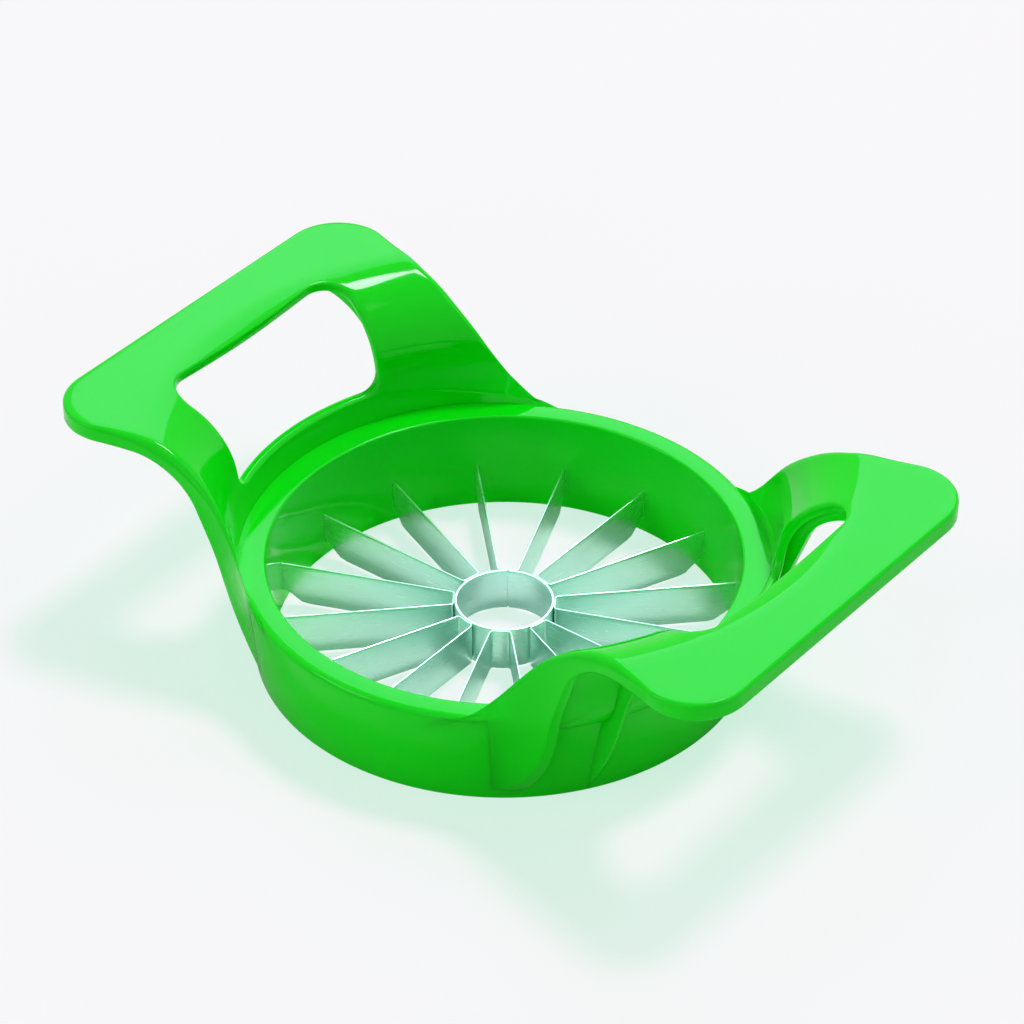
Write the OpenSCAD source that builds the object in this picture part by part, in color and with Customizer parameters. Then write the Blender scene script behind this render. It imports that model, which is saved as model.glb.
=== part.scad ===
// Apple slicer: a ring with two raised hand grips, a round corer in the middle and
// folded steel blade strips between the corer and the ring wall.
// Millimetres. The ring axis is Z, the base stands on z = 0, and the grips lie on +X and -X.

/* [Ring] */
// Inner radius of the ring at the rim
rim_inner_r = 50; // [49:0.5:52]
// Width of the flat rim, which is also the thickness of the ring wall
rim_w = 5.6; // [5:0.1:6.5]
// Height of the rim above the table
rim_h = 22.5; // [21:0.5:24]
// How far the ring wall leans in between the rim and the base
wall_lean = 2.8; // [2:0.1:3.6]
// Chamfer along the inner edge of the base
base_chamfer = 0.6; // [0.3:0.1:1.2]
// Rounding of the inner edge of the rim
rim_round = 1.5; // [0.6:0.1:2]
// Rounding of the outer edge of the rim
rim_edge = 0.8; // [0.4:0.1:1.2]

/* [Handles] */
// Height of the flat grips above the table
grip_h = 50.3; // [48:0.1:54]
// Distance from the ring axis to the outer edge of a grip
grip_reach = 86; // [84:0.5:92]
// Length of a grip along Y
grip_l = 94; // [91:0.5:100]
// Corner radius at the ends of a grip
grip_corner = 10.5; // [9:0.5:12]
// Radius of the bend between the rising leg and the flat grip
bend_r = 21.3; // [19:0.1:22]
// Distance from the outer edge of the rim to the end of the bend
bend_run = 23.6; // [22.8:0.1:26]
// Radius of the slightly hollow rise between the rim and the bend
rise_sweep_r = 200; // [120:10:400]
// Width across both legs at their waist, at the height of the grips
waist_w = 87.8; // [85:0.2:90]
// Distance from the ring axis to the waist of the legs
waist_x = 48; // [46:0.5:50]
// Wall thickness of the top web of a handle
web_t = 2.2; // [1.8:0.1:2.8]
// Wall thickness of the skirts that hang from the outer edges of a handle
skirt_t = 2.2; // [1.6:0.1:3]
// Depth of the skirts under the flat grip
skirt_drop = 4.6; // [3.8:0.1:6]
// Radius of the lower edge of the skirts where they bend down into the legs
skirt_bend_r = 16.2; // [14:0.2:18]
// Distance from the outer edge of the rim to the upright part of the skirt edge
skirt_run = 6.7; // [6:0.1:8]
// Radius of the sweep that carries the skirts down to the base
skirt_sweep_r = 50; // [46:0.5:52]
// Wall thickness of the ribs between the ring wall and the hole side of the legs
rib_t = 2.2; // [1.6:0.1:2.8]
// Distance from the outer edge of the rim to the outer edge of the ribs
rib_run = 4; // [3.6:0.1:5]
// Distance of the ribs from the edge of the hand hole
rib_set = 0.4; // [0.2:0.1:1]
// Radius of the sweep along the outer edge of the ribs
rib_sweep_r = 55; // [50:1:65]

/* [Hand holes] */
// Distance from the ring axis to the grip side of a hand hole
hole_reach = 70.3; // [69:0.1:72]
// Half length of a hand hole, measured at hole_gauge_x
hole_half = 25.3; // [23:0.1:27]
// Distance from the ring axis at which the half length is measured
hole_gauge_x = 56; // [55:0.5:58]
// Angle by which the sides of a hand hole open towards the grip
hole_flare = 14; // [8:0.5:18]
// Corner radius of a hand hole on the grip side
hole_corner = 6; // [4:0.5:8]
// Corner radius of a hand hole on the ring side
hole_toe = 3; // [2:0.25:3.5]
// Height of the collar between the legs above the rim
collar_rise = 6.5; // [5:0.25:8]
// Thickness of the collar at its upper edge
collar_t = 2; // [1.8:0.1:2.4]

/* [Corer] */
// Outer radius of the corer ring
corer_r = 10.6; // [9:0.1:13]
// Height of the corer ring
corer_h = 9.9; // [8:0.1:11]
// Width of the butt seam in the corer ring
seam_w = 0.14; // [0.1:0.02:0.3]

/* [Blades] */
// Thickness of the blade steel and of the corer steel
steel_t = 0.6; // [0.5:0.05:0.9]
// Height of the blades
blade_h = 9.8; // [8.5:0.1:10.5]
// Height of the lower edges of blades and corer above the table
edge_z = 0.5; // [0.3:0.1:1.5]
// Height of the ground bevel along the cutting edges
bevel_h = 1.4; // [0.8:0.1:2.5]
// Thickness left at the cutting edges
edge_t = 0.12; // [0.1:0.02:0.3]
// Depth to which the blade ends are moulded into the ring wall
embed = 2.6; // [1.5:0.1:3.2]
// Length of the sloped corner at the outer end of a blade
corner_l = 4; // [2:0.5:6]
// Height of the sloped corner at the outer end of a blade
corner_h = 3; // [1.5:0.25:4]
// Clearance around the moulded-in blade ends
embed_gap = 0; // [0:0.01:0.1]

/* [Hidden] */
$fn = 128;
strips = 8;
strip_step = 360 / strips;
blade_step = strip_step / 2;
// Angle of the first blade strip, so that one blade lies on the X axis
strip_start = -blade_step;
// The butt seam sits half way between two strips at the back
seam_angle = 123.75;
far = 130;
rim_outer_r = rim_inner_r + rim_w;
lean = wall_lean / rim_h;
lean_angle = atan(lean);
core_r = rim_outer_r - wall_lean - 0.8;
// Top curve of the handles: a rise out of the rim, then the bend, then the flat grip
rise_r = rim_outer_r - 0.1;
bend_c = [rim_outer_r + bend_run, grip_h - bend_r];
rise_d = norm([rise_r, rim_h] - bend_c);
rise_sum = bend_r + rise_sweep_r;
rise_dir = atan2(rim_h - bend_c[1], rise_r - bend_c[0]) + 360
    - acos((rise_d * rise_d + rise_sum * rise_sum - rise_sweep_r * rise_sweep_r) / (2 * rise_d * rise_sum));
rise_c = bend_c + rise_sum * [cos(rise_dir), sin(rise_dir)];
function rise_at(z) = rise_c[0] + sqrt(pow(rise_sweep_r, 2) - pow(rise_c[1] - z, 2));
// Lower curve of the skirts: flat, bend, then a wide sweep down to the base
low_x = rim_outer_r + skirt_run;
low_bend_x = low_x + skirt_bend_r;
low_bend_z = grip_h - skirt_drop - skirt_bend_r;
// Plan outline of a handle: grip corner, wide waist arc, tight waist arc, rim.
// The waist surfaces lean like the ring wall, so they run into it without a step.
grip_half = grip_l / 2;
waist_y = waist_w / 2;
waist_low = waist_y - (grip_h - rim_h) * lean;
corner_c = [grip_reach - grip_corner, grip_half - grip_corner];
corner_dx = corner_c[0] - waist_x;
corner_dy = waist_y - corner_c[1];
tight_r = (waist_x * waist_x + waist_low * waist_low - rim_outer_r * rim_outer_r)
    / (2 * (rim_outer_r - waist_low));
wide_r = (corner_dx * corner_dx + corner_dy * corner_dy - grip_corner * grip_corner)
    / (2 * (grip_corner - corner_dy));
tight_c = [waist_x, waist_low + tight_r];
wide_c = [waist_x, waist_y + wide_r];
rim_touch = tight_c * (rim_outer_r / norm(tight_c));
corner_touch = corner_c + (wide_c - corner_c) * (grip_corner / norm(wide_c - corner_c));
// Hand hole: side line, grip corner circle and toe circle
hole_r = rise_at(rim_h + collar_rise) + collar_t;
side_n = [-sin(hole_flare), cos(hole_flare)];
function side_y(x) = hole_half + (x - hole_gauge_x) * tan(hole_flare);
hole_c = [hole_reach - hole_corner, side_y(hole_reach - hole_corner) - hole_corner / cos(hole_flare)];
toe_k = side_y(0) - hole_toe / cos(hole_flare);
toe_m = tan(hole_flare);
toe_q = 1 + toe_m * toe_m;
toe_d = hole_r + hole_toe;
toe_x = (-toe_m * toe_k + sqrt(toe_m * toe_m * toe_k * toe_k - toe_q * (toe_k * toe_k - toe_d * toe_d)))
    / toe_q;
toe_c = [toe_x, toe_k + toe_m * toe_x];
// Blades
blade_z0 = edge_z;
blade_z1 = edge_z + blade_h;
function wall_r(z) = rim_inner_r - (rim_h - z) * lean;
blade_end_r = wall_r(blade_z0 + corner_h);
tab_r = wall_r(blade_z1) + embed;

// Section of the ring wall, in radius and height
module ring_section() {
    in_z = rim_h - rim_round;
    in_r = wall_r(in_z) + rim_round / cos(lean_angle);
    out_z = rim_h - rim_edge;
    out_r = rim_outer_r - rim_edge * lean - rim_edge / cos(lean_angle);
    polygon([
        [wall_r(base_chamfer), base_chamfer],
        [wall_r(0) + base_chamfer, 0],
        [wall_r(0) + rim_w, 0],
        [out_r + rim_edge * cos(lean_angle), out_z - rim_edge * sin(lean_angle)],
        [out_r, out_z],
        [out_r, rim_h],
        [in_r, rim_h],
        [in_r, in_z],
        [in_r - rim_round * cos(lean_angle), in_z + rim_round * sin(lean_angle)]
    ]);
    translate([in_r, in_z]) circle(rim_round);
    translate([out_r, out_z]) circle(rim_edge);
}

// Area below the top curve of the handles, moved in by a wall thickness
module under_top(wall) {
    touch = bend_c + (bend_r - wall) * [cos(rise_dir), sin(rise_dir)];
    difference() {
        union() {
            translate([bend_c[0], 0]) square([far - bend_c[0], grip_h - wall]);
            translate(bend_c) circle(bend_r - wall);
            polygon([[core_r, 0], [far, 0], [far, bend_c[1]], bend_c, touch, [core_r, touch[1]]]);
        }
        translate(rise_c) circle(rise_sweep_r + wall);
    }
}

// Area below the lower edge of the skirts
module under_skirt() {
    translate([low_bend_x, -5]) square([far, grip_h - skirt_drop + 5]);
    translate([low_bend_x, low_bend_z]) circle(skirt_bend_r);
    difference() {
        translate([core_r - 5, -5]) square([low_bend_x - core_r + 10, low_bend_z + 5]);
        translate([low_x - skirt_sweep_r, low_bend_z]) circle(skirt_sweep_r);
    }
}

function flip(point) = [point[0], -point[1]];

// Upright cone of the waist with the lean of the ring wall; its radius is given at height z
module waist_cone(radius, z) {
    translate([0, 0, -1])
        cylinder(h = grip_h + 3, r1 = radius + (z + 1) * lean, r2 = radius + (z - grip_h - 2) * lean);
}

// Upright block over the plan of the +X handle, moved in by a wall thickness
module handle_block(wall) {
    difference() {
        translate([0, 0, -0.5]) linear_extrude(grip_h + 1.5) {
            polygon([
                [0, 0], flip(rim_touch), flip(tight_c), flip(wide_c), flip(corner_touch), flip(corner_c),
                corner_c, corner_touch, wide_c, tight_c, rim_touch
            ]);
            for (side = [1, -1]) translate([corner_c[0], side * corner_c[1]]) circle(grip_corner - wall);
            translate([corner_c[0] - 4, -corner_c[1]]) square([grip_corner - wall + 4, 2 * corner_c[1]]);
        }
        for (side = [1, -1]) {
            translate([tight_c[0], side * tight_c[1], 0]) waist_cone(tight_r + wall, rim_h);
            intersection() {
                translate([wide_c[0], side * wide_c[1], 0]) waist_cone(wide_r + wall, grip_h);
                translate([waist_x, -9 * far, -5]) cube([far, 18 * far, far]);
            }
        }
    }
}

// Plan outline of the hand hole carried on into the ring, grown by a wall thickness
module hole_plan(wall) {
    start = [rim_inner_r - 8, side_y(rim_inner_r - 8)] + wall * side_n;
    polygon([
        flip(start), flip(hole_c + (hole_corner + wall) * side_n), flip(hole_c),
        [hole_reach + wall, -hole_c[1]], [hole_reach + wall, hole_c[1]],
        hole_c, hole_c + (hole_corner + wall) * side_n, start
    ]);
    for (side = [1, -1]) translate([hole_c[0], side * hole_c[1]]) circle(hole_corner + wall);
}

// Plan outline of the hand hole as it passes through the handle, with its rounded toes
module hole_through() {
    toe_end = toe_c * (hole_r / toe_d);
    difference() {
        polygon([
            flip(toe_end), flip(toe_c), flip(toe_c + hole_toe * side_n),
            flip(hole_c + hole_corner * side_n), flip(hole_c), [hole_reach, -hole_c[1]],
            [hole_reach, hole_c[1]], hole_c, hole_c + hole_corner * side_n,
            toe_c + hole_toe * side_n, toe_c, toe_end
        ]);
        circle(hole_r);
    }
    for (side = [1, -1]) {
        translate([hole_c[0], side * hole_c[1]]) circle(hole_corner);
        translate([toe_c[0], side * toe_c[1]]) circle(hole_toe);
    }
}

// Rib between the ring wall and the hole side of a leg
module rib() {
    rib_x = rim_outer_r + rib_run;
    rib_z = rim_h + collar_rise;
    intersection() {
        rotate_extrude() intersection() {
            under_top(web_t / 2);
            translate([core_r, 0]) square([rib_x - core_r, rib_z]);
            translate([rib_x - rib_sweep_r, rib_z]) circle(rib_sweep_r);
        }
        translate([0, 0, -1]) linear_extrude(grip_h) polygon([
            [rib_x - 20, side_y(rib_x - 20) + rib_set],
            [rib_x + 4, side_y(rib_x + 4) + rib_set],
            [rib_x + 4, side_y(rib_x + 4) + rib_set + rib_t / cos(hole_flare)],
            [rib_x - 20, side_y(rib_x - 20) + rib_set + rib_t / cos(hole_flare)]
        ]);
    }
}

// One handle on +X with its hand hole and its hollow underside
module handle() {
    difference() {
        intersection() {
            rotate_extrude() difference() {
                under_top(0);
                under_skirt();
            }
            handle_block(0);
        }
        // Hollow between the outer skirts, under the web
        intersection() {
            rotate_extrude() under_top(web_t);
            handle_block(skirt_t);
        }
        // Hand hole, full depth outside the collar and down to the collar above it
        translate([0, 0, -1]) linear_extrude(grip_h + 2) hole_through();
        translate([0, 0, rim_h + collar_rise]) linear_extrude(grip_h) hole_plan(0);
    }
    rib();
    mirror([0, 1, 0]) rib();
}

// Outer end of a blade as it sits in the ring wall
module blade_pocket(angle) {
    rotate([0, 0, angle])
        translate([rim_inner_r - 12, -steel_t / 2 - embed_gap, blade_z0 + corner_h - embed_gap])
            cube([tab_r + embed_gap - rim_inner_r + 12, steel_t + 2 * embed_gap,
                  blade_h - corner_h + 2 * embed_gap]);
}

// Moulded body: ring wall and both handles in one piece
module body() {
    color([0.12, 0.85, 0.22]) difference() {
        union() {
            rotate_extrude() ring_section();
            handle();
            mirror([1, 0, 0]) handle();
        }
        for (i = [0 : 2 * strips - 1]) blade_pocket(i * blade_step);
    }
}

// Rolled corer ring with a ground lower edge and a butt seam
module corer_ring() {
    color([0.80, 0.84, 0.83]) difference() {
        rotate_extrude() polygon([
            [corer_r - steel_t, edge_z + bevel_h],
            [corer_r - edge_t, edge_z],
            [corer_r, edge_z],
            [corer_r, edge_z + corer_h],
            [corer_r - steel_t, edge_z + corer_h]
        ]);
        rotate([0, 0, seam_angle])
            translate([corer_r - 3 * steel_t, -seam_w / 2, -1])
                cube([6 * steel_t, seam_w, corer_h + 4]);
    }
}

// One flat blade standing on the X axis, ground along its lower edge
module blade() {
    intersection() {
        rotate([90, 0, 90]) linear_extrude(tab_r) polygon([
            [-steel_t / 2, blade_z0 + bevel_h],
            [-edge_t / 2, blade_z0],
            [edge_t / 2, blade_z0],
            [steel_t / 2, blade_z0 + bevel_h],
            [steel_t / 2, blade_z1],
            [-steel_t / 2, blade_z1]
        ]);
        translate([0, steel_t, 0]) rotate([90, 0, 0]) linear_extrude(2 * steel_t) polygon([
            [corer_r + steel_t / 2, blade_z0],
            [blade_end_r - corner_l, blade_z0],
            [blade_end_r, blade_z0 + corner_h],
            [tab_r, blade_z0 + corner_h],
            [tab_r, blade_z1],
            [corer_r + steel_t / 2, blade_z1]
        ]);
    }
}

// One strip: two blades folded out of a base plate that lies against the corer ring
module blade_strip(index) {
    lap = asin(steel_t / 2 / (corer_r + steel_t));
    color([0.80, 0.84, 0.83]) rotate([0, 0, strip_start + (index - 1) * strip_step]) {
        rotate([0, 0, -lap]) rotate_extrude(angle = blade_step + 2 * lap)
            translate([corer_r, blade_z0 + bevel_h]) square([steel_t, blade_h - bevel_h]);
        blade();
        rotate([0, 0, blade_step]) blade();
    }
}

module blade_strip_1() { blade_strip(1); }
module blade_strip_2() { blade_strip(2); }
module blade_strip_3() { blade_strip(3); }
module blade_strip_4() { blade_strip(4); }
module blade_strip_5() { blade_strip(5); }
module blade_strip_6() { blade_strip(6); }
module blade_strip_7() { blade_strip(7); }
module blade_strip_8() { blade_strip(8); }

body();
corer_ring();
blade_strip_1();
blade_strip_2();
blade_strip_3();
blade_strip_4();
blade_strip_5();
blade_strip_6();
blade_strip_7();
blade_strip_8();
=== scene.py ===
"""Looks for the apple slicer: green moulding, steel corer, steel blade strips and a plain studio.

Sizes are in millimetres in the classes and become metres when a mesh is placed.
"""

import logging
import math
from dataclasses import dataclass, field
from enum import Enum
from functools import cached_property
from typing import NamedTuple

import bmesh
import bpy
import numpy as np
from mathutils import Matrix, Vector


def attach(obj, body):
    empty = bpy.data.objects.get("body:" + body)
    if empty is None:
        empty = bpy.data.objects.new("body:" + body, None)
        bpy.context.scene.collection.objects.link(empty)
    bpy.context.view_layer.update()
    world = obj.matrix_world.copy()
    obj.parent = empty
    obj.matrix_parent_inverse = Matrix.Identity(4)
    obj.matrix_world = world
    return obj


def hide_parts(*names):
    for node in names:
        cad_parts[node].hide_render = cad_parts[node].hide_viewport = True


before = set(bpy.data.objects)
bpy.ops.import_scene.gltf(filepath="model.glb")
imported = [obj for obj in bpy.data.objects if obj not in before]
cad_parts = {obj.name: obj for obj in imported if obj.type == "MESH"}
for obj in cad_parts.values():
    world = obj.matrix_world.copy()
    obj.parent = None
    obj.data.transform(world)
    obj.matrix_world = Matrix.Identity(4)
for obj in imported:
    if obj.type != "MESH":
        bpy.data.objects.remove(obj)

LOG = logging.getLogger("apple_slicer")
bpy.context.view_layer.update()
MM = 0.001
ROOT = "root"
UP = Vector((0.0, 0.0, 1.0))
# Size of a primitive whose points are all placed afterwards
START_SIZE = 0.03
# Least share of a face's direction that counts as square to the face's edge
SLANT_LIMIT = 0.3
# Range that holds most values of a noise pattern
NOISE_LOW, NOISE_HIGH = 0.3, 0.7

Point = tuple[float, float, float]


class Slot(Enum):
    """Material slots of the record; each piece is passed one, which nothing reads."""

    PLASTIC = "green_plastic"
    STEEL = "blade_steel"


def unit(value: float | np.ndarray) -> float | np.ndarray:
    """Limits a value or an array to the range from 0 to 1."""
    return np.clip(value, 0.0, 1.0)


def ease(part: float | np.ndarray) -> float | np.ndarray:
    """Turns a share of a way into one that starts and ends gently, limited to the range from 0 to 1."""
    part = unit(part)
    return part * part * (3 - 2 * part)


def linear(hex_colour: str) -> tuple[float, float, float, float]:
    """Turns an sRGB hex colour into linear light.

    Args:
        hex_colour: Six hex digits with a leading hash.

    Returns:
        Linear red, green, blue and an alpha of 1.
    """
    parts = [int(hex_colour[i:i + 2], 16) / 255 for i in (1, 3, 5)]
    light = [c / 12.92 if c <= 0.04045 else ((c + 0.055) / 1.055) ** 2.4 for c in parts]
    return light[0], light[1], light[2], 1.0


def add_node(tree: bpy.types.NodeTree, kind: str, settings: dict | None = None,
             inputs: dict | None = None) -> bpy.types.Node:
    """Adds one node with its settings, values and links.

    Args:
        tree: Node tree that takes the node.
        kind: Blender's name of the node type.
        settings: Properties of the node itself.
        inputs: Socket name or number to a value, or to the output socket that is linked to it.

    Returns:
        The new node.
    """
    node = tree.nodes.new(kind)
    for name, value in (settings or {}).items():
        setattr(node, name, value)
    for name, value in (inputs or {}).items():
        if isinstance(value, bpy.types.NodeSocket):
            tree.links.new(value, node.inputs[name])
        else:
            node.inputs[name].default_value = value
    return node


def deselect() -> None:
    """Leaves edit mode and deselects every object."""
    if bpy.context.object is not None and bpy.context.object.mode != "OBJECT":
        bpy.ops.object.mode_set(mode="OBJECT")
    bpy.ops.object.select_all(action="DESELECT")


def activate(piece: bpy.types.Object) -> None:
    """Makes a piece the only selected object and the active one.

    Args:
        piece: Object to make active.
    """
    deselect()
    piece.select_set(True)
    bpy.context.view_layer.objects.active = piece


def apply_modifier(piece: bpy.types.Object, kind: str, **settings: object) -> None:
    """Adds a modifier with its settings and applies it.

    Args:
        piece: Object that takes the modifier.
        kind: Blender's name of the modifier type.
        settings: Properties of the modifier.
    """
    activate(piece)
    modifier = piece.modifiers.new(kind.lower(), kind)
    for name, value in settings.items():
        setattr(modifier, name, value)
    bpy.ops.object.modifier_apply(modifier=modifier.name)


def smooth(piece: bpy.types.Object, angle: float = 38.0) -> None:
    """Smooths a piece and keeps edges sharper than an angle in degrees."""
    activate(piece)
    bpy.ops.object.shade_smooth_by_angle(angle=math.radians(angle))


def edit_select(piece: bpy.types.Object, chosen: list[int]) -> None:
    """Enters edit mode with only some vertices selected.

    Args:
        piece: Object to edit.
        chosen: Numbers of the vertices.
    """
    activate(piece)
    bpy.ops.object.mode_set(mode="EDIT")
    bpy.ops.mesh.select_mode(type="VERT")
    bpy.ops.mesh.select_all(action="DESELECT")
    bm = bmesh.from_edit_mesh(piece.data)
    bm.verts.ensure_lookup_table()
    for index in chosen:
        bm.verts[index].select = True
    bm.select_flush(True)
    bmesh.update_edit_mesh(piece.data)


def close_mesh(gap: float = 0.0) -> None:
    """Merges close points, turns all faces outwards and leaves edit mode.

    Args:
        gap: Distance in millimetres below which points merge, or 0 to keep them all.
    """
    bpy.ops.mesh.select_all(action="SELECT")
    if gap:
        bpy.ops.mesh.remove_doubles(threshold=gap * MM)
    bpy.ops.mesh.normals_make_consistent(inside=False)
    bpy.ops.object.mode_set(mode="OBJECT")


def place(piece: bpy.types.Object, points: list[Point]) -> None:
    """Moves the vertices of a piece.

    Args:
        piece: Object whose vertices move.
        points: Their new places in millimetres, in their order.
    """
    flat = np.array(points, dtype=np.float64).reshape(-1) * MM
    piece.data.vertices.foreach_set("co", flat)
    piece.data.update()


def dress(piece: bpy.types.Object, name: str, material: bpy.types.Material, slot: Slot,
          *nodes: str) -> None:
    """Names a finished piece, gives it its material and ties it to the frame.

    Args:
        piece: Finished object at the origin.
        name: Name of the piece.
        material: Material for all its faces.
        slot: Material slot of the record. Not used.
        nodes: CAD nodes that the piece stands for.
    """
    piece.name = name
    piece.data.name = name
    piece.data.materials.clear()
    piece.data.materials.append(material)
    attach(piece, ROOT)
    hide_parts(*nodes)
    LOG.info("%s: %d faces, stands for %s", name, len(piece.data.polygons), ", ".join(nodes))


@dataclass(frozen=True)
class Curve:
    """A section curve given by close samples of radius and height, both rising along it."""

    radii: np.ndarray
    heights: np.ndarray

    @cached_property
    def lengths(self) -> np.ndarray:
        """Length along the curve at each sample."""
        steps = np.hypot(np.diff(self.radii), np.diff(self.heights))
        return np.concatenate([[0.0], np.cumsum(steps)])

    def height(self, radius: float) -> float:
        """Height of the curve at a radius."""
        return float(np.interp(radius, self.radii, self.heights))

    def radius(self, height: float) -> float:
        """Radius of the curve at a height on its rising part."""
        return float(np.interp(height, self.heights, self.radii))

    def length(self, radius: float) -> float:
        """Length along the curve at a radius."""
        return float(np.interp(radius, self.radii, self.lengths))

    def at_length(self, length: float) -> tuple[float, float]:
        """Radius and height at a length along the curve."""
        return (float(np.interp(length, self.lengths, self.radii)),
                float(np.interp(length, self.lengths, self.heights)))


def arc(centre: tuple[float, float], radius: float, start: float, end: float,
        count: int) -> list[tuple[float, float]]:
    """Points on a circle in the plane.

    Args:
        centre: Centre of the circle.
        radius: Radius of the circle.
        start: First angle in degrees.
        end: Last angle in degrees.
        count: Number of points, both ends included.

    Returns:
        The points in order.
    """
    angles = [math.radians(start + (end - start) * i / (count - 1)) for i in range(count)]
    return [(centre[0] + radius * math.cos(a), centre[1] + radius * math.sin(a)) for a in angles]


def rounded(first: Vector, corner: Vector, last: Vector, weight: float, count: int) -> list[Vector]:
    """Round of an edge as a conic that leaves first and ends in last, with its corner between them.

    Args:
        first: Point where the round begins.
        corner: The sharp corner.
        last: Point where the round ends.
        weight: Sine of half the angle of the corner, which makes the round circular.
        count: Number of points, both ends included.

    Returns:
        The points in order.
    """
    points = []
    for i in range(count):
        t = i / (count - 1)
        a, b, c = (1 - t) ** 2, 2 * weight * t * (1 - t), t * t
        points.append((first * a + corner * b + last * c) / (a + b + c))
    return points


class PlanArc(NamedTuple):
    """Arc of a side face, seen from above."""

    centre: Vector
    radius: float


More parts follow.
